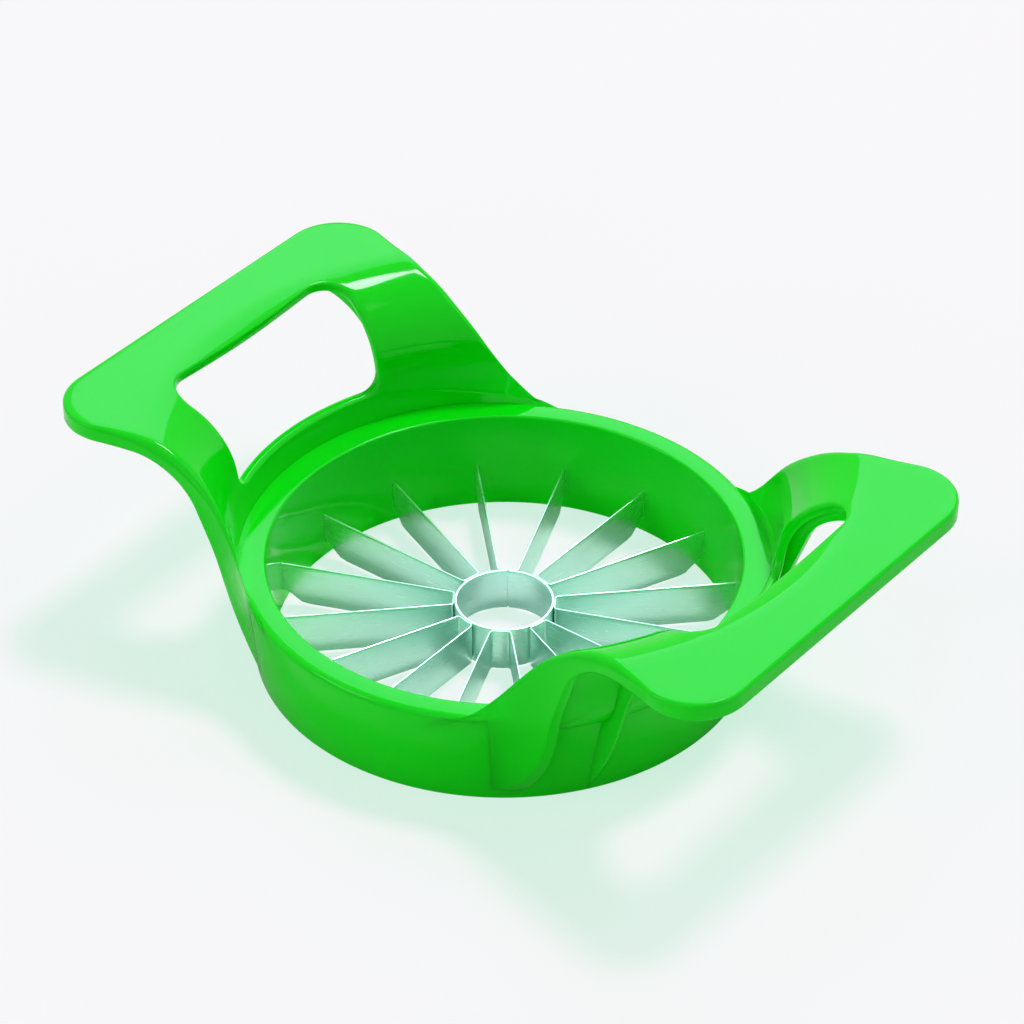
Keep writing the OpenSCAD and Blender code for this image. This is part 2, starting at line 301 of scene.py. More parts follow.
@dataclass(frozen=True)
class HandleForm:
    """Curves and outlines that give a handle on +X its shape.

    The waist and the foot of the skirt hold a radius, a height and the change of radius with height there.
    """

    rim_outer: float = 55.6
    rim_height: float = 22.5
    lean: float = 2.8 / 22.5
    grip_height: float = 50.29
    grip_reach: float = 85.98
    grip_half: float = 47.5
    grip_corner: float = 12.0
    bend_radius: float = 19.2
    bend_run: float = 20.9
    rise_sweep: float = 500.0
    rise_inset: float = -0.2
    waist_half: float = 43.9
    waist_x: float = 48.5
    blend_height: float = 39.0
    tip_angle: float = 67.3
    web: float = 2.2
    skirt: float = 1.3
    skirt_drop: float = 4.1
    skirt_bend: float = 14.0
    skirt_run: float = 21.6
    skirt_turn: float = 18.0
    skirt_waist: tuple[float, float, float] = (59.6, 23.0, 0.22)
    skirt_foot: tuple[float, float, float] = (52.9, 2.0, 0.5)
    hole_reach: float = 70.0
    hole_half: float = 24.4
    hole_gauge: float = 56.0
    hole_flare: float = 14.3
    hole_corner: float = 6.0
    toe_round: float = 4.0
    lip_height: float = 29.0
    web_sink: float = 4.0
    web_sink_from: float = 23.2
    root_sink: float = 2.8
    root_sink_from: float = 20.5
    sink_run: float = 8.0
    foot_depth: float = 8.0
    far: float = 130.0
    rise_samples: int = 700
    bend_samples: int = 500
    skirt_samples: int = 200
    skirt_bend_samples: int = 300

    @cached_property
    def corner(self) -> tuple[float, float]:
        """Centre of the grip's round corner."""
        return self.grip_reach - self.grip_corner, self.grip_half - self.grip_corner

    @cached_property
    def wide(self) -> PlanArc:
        """Hollow arc from the grip's corner to the waist.

        Returns:
            The arc at the height of the grip.
        """
        dx, dy = self.corner[0] - self.waist_x, self.waist_half - self.corner[1]
        radius = (dx * dx + dy * dy - self.grip_corner ** 2) / (2 * (self.grip_corner - dy))
        return PlanArc(Vector((self.waist_x, self.waist_half + radius)), radius)

    @cached_property
    def tight(self) -> PlanArc:
        """Hollow arc from the waist to the ring wall.

        Returns:
            The arc at the height of the rim.
        """
        low = self.waist_half - (self.grip_height - self.rim_height) * self.lean
        radius = (self.waist_x ** 2 + low ** 2 - self.rim_outer ** 2) / (2 * (self.rim_outer - low))
        return PlanArc(Vector((self.waist_x, low + radius)), radius)

    @cached_property
    def meet_angle(self) -> float:
        """Angle in degrees at which the grip's corner meets the wide arc."""
        centre = self.wide.centre
        return math.degrees(math.atan2(centre[1] - self.corner[1], centre[0] - self.corner[0]))

    def top_curve(self, wall: float) -> Curve:
        """Top of the handle: rise out of the rim, bend, flat grip. Its foot turns into the ring wall.

        Args:
            wall: Distance by which the curve is moved into the plastic.

        Returns:
            The curve in radius and height.
        """
        bend_x = self.rim_outer + self.bend_run
        bend_z = self.grip_height - self.bend_radius
        start_x = self.rim_outer - self.rise_inset
        gap = math.dist((start_x, self.rim_height), (bend_x, bend_z))
        total = self.bend_radius + self.rise_sweep
        turn = math.acos((gap ** 2 + total ** 2 - self.rise_sweep ** 2) / (2 * gap * total))
        angle = math.atan2(self.rim_height - bend_z, start_x - bend_x) + 2 * math.pi - turn
        sweep_x = bend_x + total * math.cos(angle)
        sweep_z = bend_z + total * math.sin(angle)
        bend_low = bend_z + (self.bend_radius - wall) * math.sin(angle)
        heights = np.linspace(-self.foot_depth, bend_low, self.rise_samples)
        rise = sweep_x + np.sqrt((self.rise_sweep + wall) ** 2 - (sweep_z - heights) ** 2)
        inner, outer = (self.web_sink, self.web_sink_from), (self.root_sink, self.root_sink_from)
        depth, start = inner if wall else outer
        rise -= depth * ease((start - heights) / self.sink_run)
        angles = np.linspace(angle, math.pi / 2, self.bend_samples)[1:]
        bend_r = bend_x + (self.bend_radius - wall) * np.cos(angles)
        bend_h = bend_z + (self.bend_radius - wall) * np.sin(angles)
        return Curve(np.concatenate([rise, bend_r, [self.far]]),
                     np.concatenate([heights, bend_h, [bend_h[-1]]]))

    @cached_property
    def top(self) -> Curve:
        """Outer face of the web."""
        return self.top_curve(0.0)

    @cached_property
    def under(self) -> Curve:
        """Inner face of the web."""
        return self.top_curve(self.web)

    @cached_property
    def skirt_edge(self) -> Curve:
        """Lower edge of the skirts: up the ring wall, a slight waist, a bend, then flat under the grip.

        Returns:
            The curve in radius and height.
        """
        bend_x = self.rim_outer + self.skirt_run
        bend_z = self.grip_height - self.skirt_drop - self.skirt_bend
        angles = np.radians(np.linspace(180.0 - self.skirt_turn, 90.0, self.skirt_bend_samples))
        bend_r = bend_x + self.skirt_bend * np.cos(angles)
        bend_h = bend_z + self.skirt_bend * np.sin(angles)
        foot_r, foot_z, foot_slope = self.skirt_foot
        knots = [(foot_r - foot_slope * foot_z, 0.0, foot_slope), self.skirt_foot, self.skirt_waist,
                 (float(bend_r[0]), float(bend_h[0]), math.tan(math.radians(self.skirt_turn)))]
        radii, heights = [], []
        for (r0, z0, s0), (r1, z1, s1) in zip(knots, knots[1:]):
            t = np.linspace(0.0, 1.0, self.skirt_samples, endpoint=False)
            radii.append(r0 + (r1 - r0) * ease(t) + (z1 - z0) * t * (1 - t) * (s0 * (1 - t) - s1 * t))
            heights.append(z0 + (z1 - z0) * t)
        return Curve(np.concatenate([*radii, bend_r, [self.far]]),
                     np.concatenate([*heights, bend_h, [bend_h[-1]]]))

    def side_y(self, x: float) -> float:
        """Side line of the hand hole."""
        return self.hole_half + (x - self.hole_gauge) * math.tan(math.radians(self.hole_flare))

    def side_at(self, radius: float) -> tuple[float, float]:
        """Point of the hole's side line at a distance from the ring axis.

        Args:
            radius: Distance from the ring axis.

        Returns:
            The point in plan.
        """
        slope = math.tan(math.radians(self.hole_flare))
        start = self.side_y(0.0)
        q = 1 + slope * slope
        x = (-start * slope + math.sqrt((start * slope) ** 2 - q * (start * start - radius * radius))) / q
        return x, start + slope * x


def resample(path: np.ndarray, count: int) -> np.ndarray:
    """Spreads points evenly along a path.

    Args:
        path: Rows of x, y and any further values.
        count: Number of rows wanted, both ends included.

    Returns:
        The evenly spaced rows.
    """
    steps = np.hypot(np.diff(path[:, 0]), np.diff(path[:, 1]))
    along = np.concatenate([[0.0], np.cumsum(steps)])
    wanted = np.linspace(0.0, along[-1], count)
    return np.stack([np.interp(wanted, along, path[:, k]) for k in range(path.shape[1])], axis=1)


class EdgePoint(NamedTuple):
    """Point of a handle's outer edge, with the side face below it.

    It has its place in plan, its length along the top curve, its shift in from that curve, the outward
    normal, the lean of the side face and the depth that this face takes into the ring wall.
    """

    x: float
    y: float
    length: float
    shift: float
    normal_x: float
    normal_y: float
    lean: float
    dive: float


@dataclass
class HandleShell:
    """Hollow handle made from one closed loop that is extruded round its wall.

    Shares are parts of a length, turns are in degrees, and columns, rows and samples are counts.
    """

    form: HandleForm = field(default_factory=HandleForm)
    grip_round: float = 0.7
    leg_round: float = 2.2
    toe_edge_round: float = 1.6
    edge_limit: float = 2.6
    edge_share: float = 0.45
    grip_hole_round: float = 0.5
    hole_round: float = 1.1
    hole_reach_share: float = 0.6
    hole_wall_share: float = 0.7
    foot_round: float = 0.45
    foot_share: float = 0.4
    foot_weight: float = 0.7
    hole_foot_share: float = 0.2
    least_skirt: float = 0.2
    ceiling_above: float = 12.0
    face_probe: float = 0.3
    lean_from: float = 45.0
    leg_from_x: float = 53.0
    wedge_proud: float = 0.02
    wedge_dive: float = 1.0
    wedge_turn: float = 0.7
    dive_below: float = 1.0
    dive_run: float = 2.5
    nose_turn: float = 5.0
    nose_sink: float = 1.2
    nose_fall: float = 2.5
    buried_height: float = 9.0
    buried_low: float = 2.5
    buried_gap: float = 1.0
    buried_step: float = 0.1
    floor_gap: float = 0.4
    merge_gap: float = 0.0002
    settle_share: float = 0.3
    settle_rounds: int = 60
    grip_columns: int = 22
    corner_columns: int = 40
    leg_columns: int = 22
    toe_columns: int = 36
    collar_columns: int = 30
    top_rows: int = 14
    edge_rows: int = 7
    hole_rows: int = 6
    face_rows: int = 7
    foot_rows: int = 3
    inner_rows: int = 3
    under_rows: int = 10
    grip_samples: int = 40
    corner_samples: int = 120
    arc_samples: int = 160
    sweep_samples: int = 60
    nose_samples: int = 30
    strip_samples: int = 80
    drop_rounds: int = 40
    drop_stop: float = 0.2

    @property
    def buried_from(self) -> int:
        """Number of the first section whose outer side is hidden inside the ring wall."""
        return self.grip_columns + self.corner_columns + self.leg_columns + self.toe_columns

    def hole_edge(self, curve: Curve) -> np.ndarray:
        """Half of the hand hole's edge on one face of the web, from the grip to the collar.

        Args:
            curve: Face of the web.

        Returns:
            Rows of length along the curve and angle about the ring axis.
        """
        form = self.form
        flare = math.radians(form.hole_flare)
        corner_x = form.hole_reach - form.hole_corner
        corner_y = form.side_y(corner_x) - form.hole_corner / math.cos(flare)
        plan = [(form.hole_reach, corner_y * i / self.grip_columns) for i in range(self.grip_columns)]
        corner_turn = 90.0 + form.hole_flare
        plan += arc((corner_x, corner_y), form.hole_corner, 0.0, corner_turn, self.corner_columns + 1)[:-1]
        rows = [(curve.length(math.hypot(x, y)), math.atan2(y, x)) for x, y in plan]
        end_x = corner_x - form.hole_corner * math.sin(flare)
        leg_start = curve.length(math.hypot(end_x, form.side_y(end_x)))
        lip_r = curve.radius(form.lip_height)
        lip = curve.length(lip_r)
        toe = lip + form.toe_round
        for i in range(self.leg_columns):
            length = leg_start + (toe - leg_start) * i / self.leg_columns
            x, y = form.side_at(curve.at_length(length)[0])
            rows.append((length, math.atan2(y, x)))
        x, y = form.side_at(curve.at_length(toe)[0])
        across = math.atan2(y, x) * lip_r - form.toe_round
        for along, length in arc((across, toe), form.toe_round, 0.0, -90.0, self.toe_columns + 1)[:-1]:
            rows.append((length, along / lip_r))
        last = across / lip_r
        rows += [(lip, last * (1 - i / self.collar_columns)) for i in range(self.collar_columns + 1)]
        return np.array(rows)

    def top_point(self, x: float, y: float, normal: tuple[float, float], lean: float) -> EdgePoint:
        """Point of the outer edge that lies on the top curve."""
        return EdgePoint(x, y, self.form.top.length(math.hypot(x, y)), 0.0, *normal, lean, 0.0)

    def grip_edge(self) -> list[EdgePoint]:
        """Straight edge of the grip, from its middle to its corner."""
        reach, end, count = self.form.grip_reach, self.form.corner[1], self.grip_samples
        return [self.top_point(reach, end * i / count, (1.0, 0.0), 0.0) for i in range(count + 1)]

    def corner_edge(self) -> list[EdgePoint]:
        """Round corner of the grip, along which the side face begins to lean.

        Returns:
            The points in order.
        """
        form = self.form
        points = []
        for k in range(self.corner_samples + 1):
            degrees = form.meet_angle * k / self.corner_samples
            lean = form.lean * ease((degrees - self.lean_from) / (form.meet_angle - self.lean_from))
            u = math.cos(math.radians(degrees)), math.sin(math.radians(degrees))
            x, y = form.corner[0] + form.grip_corner * u[0], form.corner[1] + form.grip_corner * u[1]
            points.append(self.top_point(x, y, u, lean))
        return points

    def leaning_edge(self, plan: PlanArc, height: float, start: float, end: float) -> list[EdgePoint]:
        """Top edge of a leaning side face that is an arc in plan.

        Args:
            plan: Arc of the face at the given height.
            height: Height at which the arc holds.
            start: First angle of the arc in degrees.
            end: Last angle of the arc in degrees.

        Returns:
            The points in order.
        """
        form = self.form
        points = []
        for angle in np.radians(np.linspace(start, end, self.arc_samples)):
            u = math.cos(angle), math.sin(angle)
            z = form.rim_height
            for _ in range(self.settle_rounds):
                rho = plan.radius + (height - z) * form.lean
                x, y = plan.centre[0] + rho * u[0], plan.centre[1] + rho * u[1]
                z += self.settle_share * (form.top.height(math.hypot(x, y)) - z)
            points.append(self.top_point(x, y, (-u[0], -u[1]), form.lean))
        return points

    def side_point(self, angle: float, z: float, sink: float) -> EdgePoint:
        """Point of the leg's side face, or past its end of the ring wall.

        Args:
            angle: Angle about the ring axis.
            z: Height of the point.
            sink: Depth below the face of the ring wall.

        Returns:
            The point.
        """
        form = self.form
        centre, tight_r = form.tight
        u = Vector((math.cos(angle), math.sin(angle)))
        past = math.degrees(angle) - math.degrees(math.atan2(centre[1], centre[0]))
        if past < 0.0:
            rho = tight_r + (form.rim_height - z) * form.lean
            reach = centre.dot(u)
            p = u * (reach - math.sqrt(max(reach ** 2 - centre.dot(centre) + rho ** 2, 0.0)))
            normal, dive = (centre - p).normalized(), 0.0
        else:
            part = min(past / self.wedge_turn, 1.0)
            p = u * (form.rim_outer + (z - form.rim_height) * form.lean + self.wedge_proud * part - sink)
            normal, dive = u, self.wedge_dive * part
        radius = form.top.radius(z)
        return EdgePoint(p.x, p.y, form.top.length(radius), radius - p.length, normal.x, normal.y,
                         form.lean, dive)

    def toe_edge(self, leg: list[EdgePoint]) -> tuple[int, list[EdgePoint]]:
        """Sweep of the leg's edge down onto the rim, and the nose that sinks into the wall past its tip.

        Args:
            leg: Edge of the leg from the waist down.

        Returns:
            Number of the leg's point at which the sweep begins, and the points of the sweep and the nose.
        """
        form = self.form
        heights = np.array([form.top.at_length(point.length)[1] for point in leg])
        turns = np.array([math.atan2(point.y, point.x) for point in leg]) * form.rim_outer
        leave = int(np.argmin(np.abs(heights - form.blend_height)))
        slope = (heights[leave] - heights[leave - 1]) / (turns[leave] - turns[leave - 1])
        tip = math.radians(form.tip_angle) * form.rim_outer
        knee = turns[leave] + (form.rim_height - heights[leave]) / slope
        points = []
        for t in np.linspace(0.0, 1.0, self.sweep_samples):
            along = turns[leave] * (1 - t) ** 2 + knee * 2 * t * (1 - t) + tip * t * t
            z = form.rim_height + (heights[leave] - form.rim_height) * (1 - t) ** 2
            points.append(self.side_point(along / form.rim_outer, z, 0.0))
        for t in np.linspace(0.0, 1.0, self.nose_samples)[1:]:
            angle = math.radians(form.tip_angle + self.nose_turn * t)
            z = form.rim_height - self.nose_fall * t
            points.append(self.side_point(angle, z, self.nose_sink * t * t))
        return leave, points

    def buried_edge(self) -> list[EdgePoint]:
        """Hidden edge inside the ring wall, from the nose to the middle of the collar.

        Returns:
            The points in order.
        """
        form = self.form
        radius = form.top.radius(self.buried_height)
        length = form.top.length(radius)
        points = []
        for k in range(self.collar_columns + 1):
            angle = math.radians(form.tip_angle + self.nose_turn) * (1 - k / self.collar_columns)
            u = math.cos(angle), math.sin(angle)
            points.append(EdgePoint(radius * u[0], radius * u[1], length, 0.0, *u, form.lean, 0.0))
        return points

    def outer_edge(self) -> list[EdgePoint]:
        """Half of the outer edge, from the grip round the leg, onto the rim and back inside the ring wall.

        Returns:
            The points, one for each section.
        """
        form = self.form
        broad = self.leaning_edge(form.wide, form.grip_height, form.meet_angle - 180.0, -90.0)
        centre = form.tight.centre
        touch = math.degrees(math.atan2(-centre[1], -centre[0]))
        narrow = self.leaning_edge(form.tight, form.rim_height, -90.0, touch)
        split = min(range(len(broad)), key=lambda k: abs(broad[k].x - self.leg_from_x))
        leave, toe = self.toe_edge(narrow)
        runs = [(self.grip_edge(), self.grip_columns),
                (self.corner_edge() + broad[1:split + 1], self.corner_columns),
                (broad[split:] + narrow[1:leave + 1], self.leg_columns),
                (toe, self.toe_columns)]
        rows = [resample(np.array(run), columns + 1)[:-1] for run, columns in runs]
        return [EdgePoint(*row) for row in np.concatenate([*rows, np.array(self.buried_edge())])]

    def strip(self, curve: Curve, start: tuple[float, float], end: tuple[float, float],
              shift: float = 0.0) -> np.ndarray:
        """Line across a face of the web.

        Args:
            curve: Face of the web.
            start: Length along the curve and angle of the first point.
            end: Length along the curve and angle of the last point.
            shift: Distance by which the last point lies further in than the curve.

        Returns:
            Rows of x, y, z and the distance from the first point.
        """
        rows = []
        for t in np.linspace(0.0, 1.0, self.strip_samples):
            r, z = curve.at_length(start[0] + (end[0] - start[0]) * t)
            r -= shift * t * t
            a = start[1] + (end[1] - start[1]) * t
            rows.append((r * math.cos(a), r * math.sin(a), z))
        points = np.array(rows)
        steps = np.linalg.norm(np.diff(points, axis=0), axis=1)
        return np.column_stack([points, np.concatenate([[0.0], np.cumsum(steps)])])

    @staticmethod
    def along(line: np.ndarray, distance: float) -> Vector:
        """Point of a line at a distance from its start."""
        return Vector([float(np.interp(distance, line[:, 3], line[:, k])) for k in range(3)])

    @staticmethod
    def direction(path: list[Vector], i: int) -> Vector:
        """Direction of an edge at one of its points, which mirrors at both ends of the half.

        Args:
            path: Points of the edge.
            i: Number of the point.

        Returns:
            The unit direction.
        """
        if i in (0, len(path) - 1):
            return Vector((0.0, 1.0, 0.0))
        return (path[i + 1] - path[i - 1]).normalized()

    @staticmethod
    def round_lengths(tangent: Vector, one: Vector, two: Vector, radius: float,
                      limit: float) -> tuple[float, float, float]:
        """Lengths that a round takes from both faces at an edge.

        Args:
            tangent: Direction of the edge.
            one: Direction from the edge along the first face.
            two: Direction from the edge along the second face.
            radius: Radius of the round.
            limit: Largest length that it may take.

        Returns:
            Length on the first face, length on the second face, and the weight of the round.
        """
        flat_one = one - tangent * one.dot(tangent)
        flat_two = two - tangent * two.dot(tangent)
        half = flat_one.angle(flat_two) / 2
        reach = min(radius / math.tan(half), limit)
        return (reach / max(flat_one.length, SLANT_LIMIT), reach / max(flat_two.length, SLANT_LIMIT),
                math.sin(half))

    def sections(self) -> list[list[Vector]]:
        """Closed wall sections along half of the handle, from the grip's middle to the collar's middle.

        Returns:
            The points of each section, in the same order in all of them.
        """
        form = self.form
        high, low, outer = self.hole_edge(form.top), self.hole_edge(form.under), self.outer_edge()
        tops = [self.strip(form.top, tuple(start), (point.length, math.atan2(point.y, point.x)), point.shift)
                for start, point in zip(high, outer)]
        rims = [Vector(line[0, :3]) for line in tops]
        edges = [Vector(line[-1, :3]) for line in tops]
        lips = []
        for length, angle in low:
            r, z = form.under.at_length(length)
            lips.append(Vector((r * math.cos(angle), r * math.sin(angle), z)))
        result = []
        for i, point in enumerate(outer):
            top, wall = tops[i], lips[i] - rims[i]
            outer_take, outer_round, sides = self.outer_side(i, point, top, self.direction(edges, i))
            inner = sides[-1]
            start = (form.under.length(math.hypot(inner.x, inner.y)), math.atan2(inner.y, inner.x))
            under = self.strip(form.under, start, tuple(low[i]))
            rim_take, hole_top = self.hole_rim(i, top, wall, self.direction(rims, i))
            foot_take, hole_low = self.hole_foot(lips[i], under, wall, self.direction(lips, i))
            free = top[-1, 3] - outer_take - rim_take
            face = [self.along(top, rim_take + free * k / (self.top_rows + 1))
                    for k in range(1, self.top_rows + 1)]
            base = [self.along(under, (under[-1, 3] - foot_take) * k / (self.under_rows + 1))
                    for k in range(1, self.under_rows + 1)]
            section = hole_low + hole_top + face + outer_round + sides + base
            result.append([Vector((p.x, p.y, max(p.z, self.floor_gap))) for p in section])
        return result

    def hole_rim(self, column: int, top: np.ndarray, wall: Vector,
                 tangent: Vector) -> tuple[float, list[Vector]]:
        """Rounded upper edge of the hand hole, crisper along the grip.

        Args:
            column: Number of the section.
            top: Line across the top face, from the hole outwards.
            wall: Step from the upper to the lower edge of the hole.
            tangent: Direction of the upper edge.

        Returns:
            Length that the round takes from the top face, and its points up to that face.
        """
        rim, down = Vector(top[0, :3]), wall.normalized()
        away = (self.along(top, self.face_probe) - rim).normalized()
        widen = unit((column - self.grip_columns) / self.corner_columns)
        size = self.grip_hole_round + (self.hole_round - self.grip_hole_round) * widen
        limit = self.hole_reach_share * wall.length
        take, give, weight = self.round_lengths(tangent, down, away, size, limit)
        take = min(take, self.hole_wall_share * wall.length)
        return give, rounded(rim + down * take, rim, self.along(top, give), weight, self.hole_rows)

    def hole_foot(self, lip: Vector, under: np.ndarray, wall: Vector,
                  tangent: Vector) -> tuple[float, list[Vector]]:
        """Rounded lower edge of the hand hole.

        Args:
            lip: Point of the lower edge.
            under: Line across the under face, inwards to the hole.
            wall: Step from the upper to the lower edge of the hole.
            tangent: Direction of the lower edge.

        Returns:
            Length that the round takes from the under face, and its points from that face on.
        """
        down, total = wall.normalized(), under[-1, 3]
        back = (self.along(under, total - self.face_probe) - lip).normalized()
        limit = self.hole_foot_share * wall.length
        take, below, weight = self.round_lengths(tangent, back, -down, self.foot_round, limit)
        start = self.along(under, total - take)
        return take, rounded(start, lip, lip - down * below, weight, self.foot_rows)

    def outer_side(self, column: int, point: EdgePoint, top: np.ndarray,
                   tangent: Vector) -> tuple[float, list[Vector], list[Vector]]:
        """Rounded outer edge and what hangs below it.

        Args:
            column: Number of the section.
            point: Point of the outer edge.
            top: Line across the top face, from the hole outwards.
            tangent: Direction of the outer edge.

        Returns:
            Length that the round takes from the top face, its points, and the points of the side below.
        """
        normal = Vector((point.normal_x, point.normal_y, 0.0))
        fall = Vector((-normal.x * point.lean, -normal.y * point.lean, -1.0))
        edge, total = Vector(top[-1, :3]), top[-1, 3]
        if column >= self.buried_from:
            steps = [edge + fall * (self.buried_step * k) for k in range(self.edge_rows)]
            return 0.0, steps, self.buried_side(edge, normal)
        inward = (self.along(top, total - self.face_probe) - edge).normalized()
        down = fall.normalized()
        size = self.edge_round(column)
        take, give, weight = self.round_lengths(tangent, inward, down, size, self.edge_limit)
        take = min(take, self.edge_share * total)
        start = self.along(top, total - take)
        turn = rounded(start, edge, edge + down * give, weight, self.edge_rows)
        return take, turn, self.side(turn[-1], fall, normal, point.dive)

    def edge_round(self, column: int) -> float:
        """Radius of the outer edge at a section: crisp round the grip, full on the leg, then as the rim's.

        Args:
            column: Number of the section.

        Returns:
            The radius.
        """
        leg = self.grip_columns + self.corner_columns
        stops = (leg - self.corner_columns / 2, leg, leg + self.leg_columns / 2, leg + self.leg_columns)
        sizes = (self.grip_round, self.leg_round, self.leg_round, self.toe_edge_round)
        return float(np.interp(column, stops, sizes))

    def side(self, start: Vector, fall: Vector, normal: Vector, dive: float) -> list[Vector]:
        """Side face, lower edge and inner face of a skirt below the rounded outer edge.

        Args:
            start: End of the rounded outer edge.
            fall: Step along the side face for one millimetre of height.
            normal: Outward normal of the outline.
            dive: Depth that the face takes into the ring wall below the rim.

        Returns:
            Points from the first row of the side face to the inner corner under the web.
        """
        form = self.form
        foot = self.drop_to(start, fall, form.skirt_edge)
        inner_start = start - normal * form.skirt
        inner_foot = self.drop_to(inner_start, fall, form.skirt_edge)
        ceiling = self.drop_to(inner_start - fall * self.ceiling_above, fall, form.under)
        if ceiling.z < inner_foot.z + self.least_skirt:
            ceiling = inner_foot - fall * self.least_skirt
        faces = [start.lerp(foot, k / (self.face_rows + 1)) for k in range(1, self.face_rows + 1)]
        across, rise = inner_foot - foot, ceiling - inner_foot
        edge = across.normalized()
        cut = min(self.foot_round, self.foot_share * across.length, self.foot_share * (start - foot).length)
        cut_in = min(cut, self.foot_share * rise.length)
        foot_out = rounded(foot - fall.normalized() * cut, foot, foot + edge * cut, self.foot_weight,
                           self.foot_rows)
        foot_in = rounded(inner_foot - edge * cut, inner_foot, inner_foot + rise.normalized() * cut_in,
                          self.foot_weight, self.foot_rows)
        inside = [foot_in[-1].lerp(ceiling, k / (self.inner_rows + 1))
                  for k in range(1, self.inner_rows + 1)]
        rim = form.rim_height - self.dive_below
        return [p - normal * (dive * unit((rim - p.z) / self.dive_run))
                for p in faces + foot_out + foot_in + inside + [ceiling]]

    def drop_to(self, origin: Vector, fall: Vector, curve: Curve) -> Vector:
        """Point below another on a side face where the face meets a curve.

        Args:
            origin: Point to start from.
            fall: Step along the side face for one millimetre of height.
            curve: Curve that the face meets.

        Returns:
            The meeting point.
        """
        low, high = 0.0, origin.z - self.drop_stop
        for _ in range(self.drop_rounds):
            step = (low + high) / 2
            p = origin + fall * step
            low, high = (step, high) if p.z > curve.height(math.hypot(p.x, p.y)) else (low, step)
        return origin + fall * low

    def buried_side(self, edge: Vector, normal: Vector) -> list[Vector]:
        """Hidden end of the section inside the ring wall, with as many points as a skirt has.

        Args:
            edge: Point of the buried edge.
            normal: Outward normal of the ring.

        Returns:
            Points from below the edge to the lowest one under the web.
        """
        count = self.face_rows + 2 * self.foot_rows + self.inner_rows
        start = edge - UP * self.buried_gap
        r = self.form.under.radius(self.buried_low)
        end = Vector((normal.x * r, normal.y * r, self.buried_low))
        return [start.lerp(end, k / (count + 1)) for k in range(1, count + 1)] + [end]

    def build(self) -> bpy.types.Object:
        """Extrudes the loop round the whole wall and closes it.

        Returns:
            The handle on +X.
        """
        half = self.sections()
        count = 2 * (len(half) - 1)
        rows = []
        for k in range(len(half[0])):
            loop = [section[k] for section in half]
            rows.append(loop + [Vector((p.x, -p.y, p.z)) for p in loop[-2:0:-1]])
        deselect()
        bpy.ops.mesh.primitive_circle_add(vertices=count, radius=START_SIZE, enter_editmode=True)
        piece = bpy.context.object
        live = list(range(count))
        bm = bmesh.from_edit_mesh(piece.data)
        bm.verts.ensure_lookup_table()
        for index, p in zip(live, rows[0]):
            bm.verts[index].co = p * MM
        for points in rows[1:] + rows[:1]:
            bpy.ops.mesh.extrude_region_move(TRANSFORM_OT_translate={"value": (0.0, 0.0, 0.0)})
            bm = bmesh.from_edit_mesh(piece.data)
            bm.verts.ensure_lookup_table()
            fresh = []
            for index, p in zip(live, points):
                old = bm.verts[index]
                ends = (edge.other_vert(old) for edge in old.link_edges)
                vert = next(end for end in ends if end.select)
                vert.co = p * MM
                fresh.append(vert.index)
            live = fresh
        bmesh.update_edit_mesh(piece.data)
        close_mesh(self.merge_gap)
        return piece


def turned_copy(piece: bpy.types.Object, angle: float) -> bpy.types.Object:
    """Copies a piece with its own mesh, turned about the ring axis.

    Args:
        piece: Object to copy.
        angle: Turn in degrees.

    Returns:
        The copy.
    """
    copy = piece.copy()
    copy.data = piece.data.copy()
    bpy.context.scene.collection.objects.link(copy)
    copy.data.transform(Matrix.Rotation(math.radians(angle), 4, "Z"))
    return copy


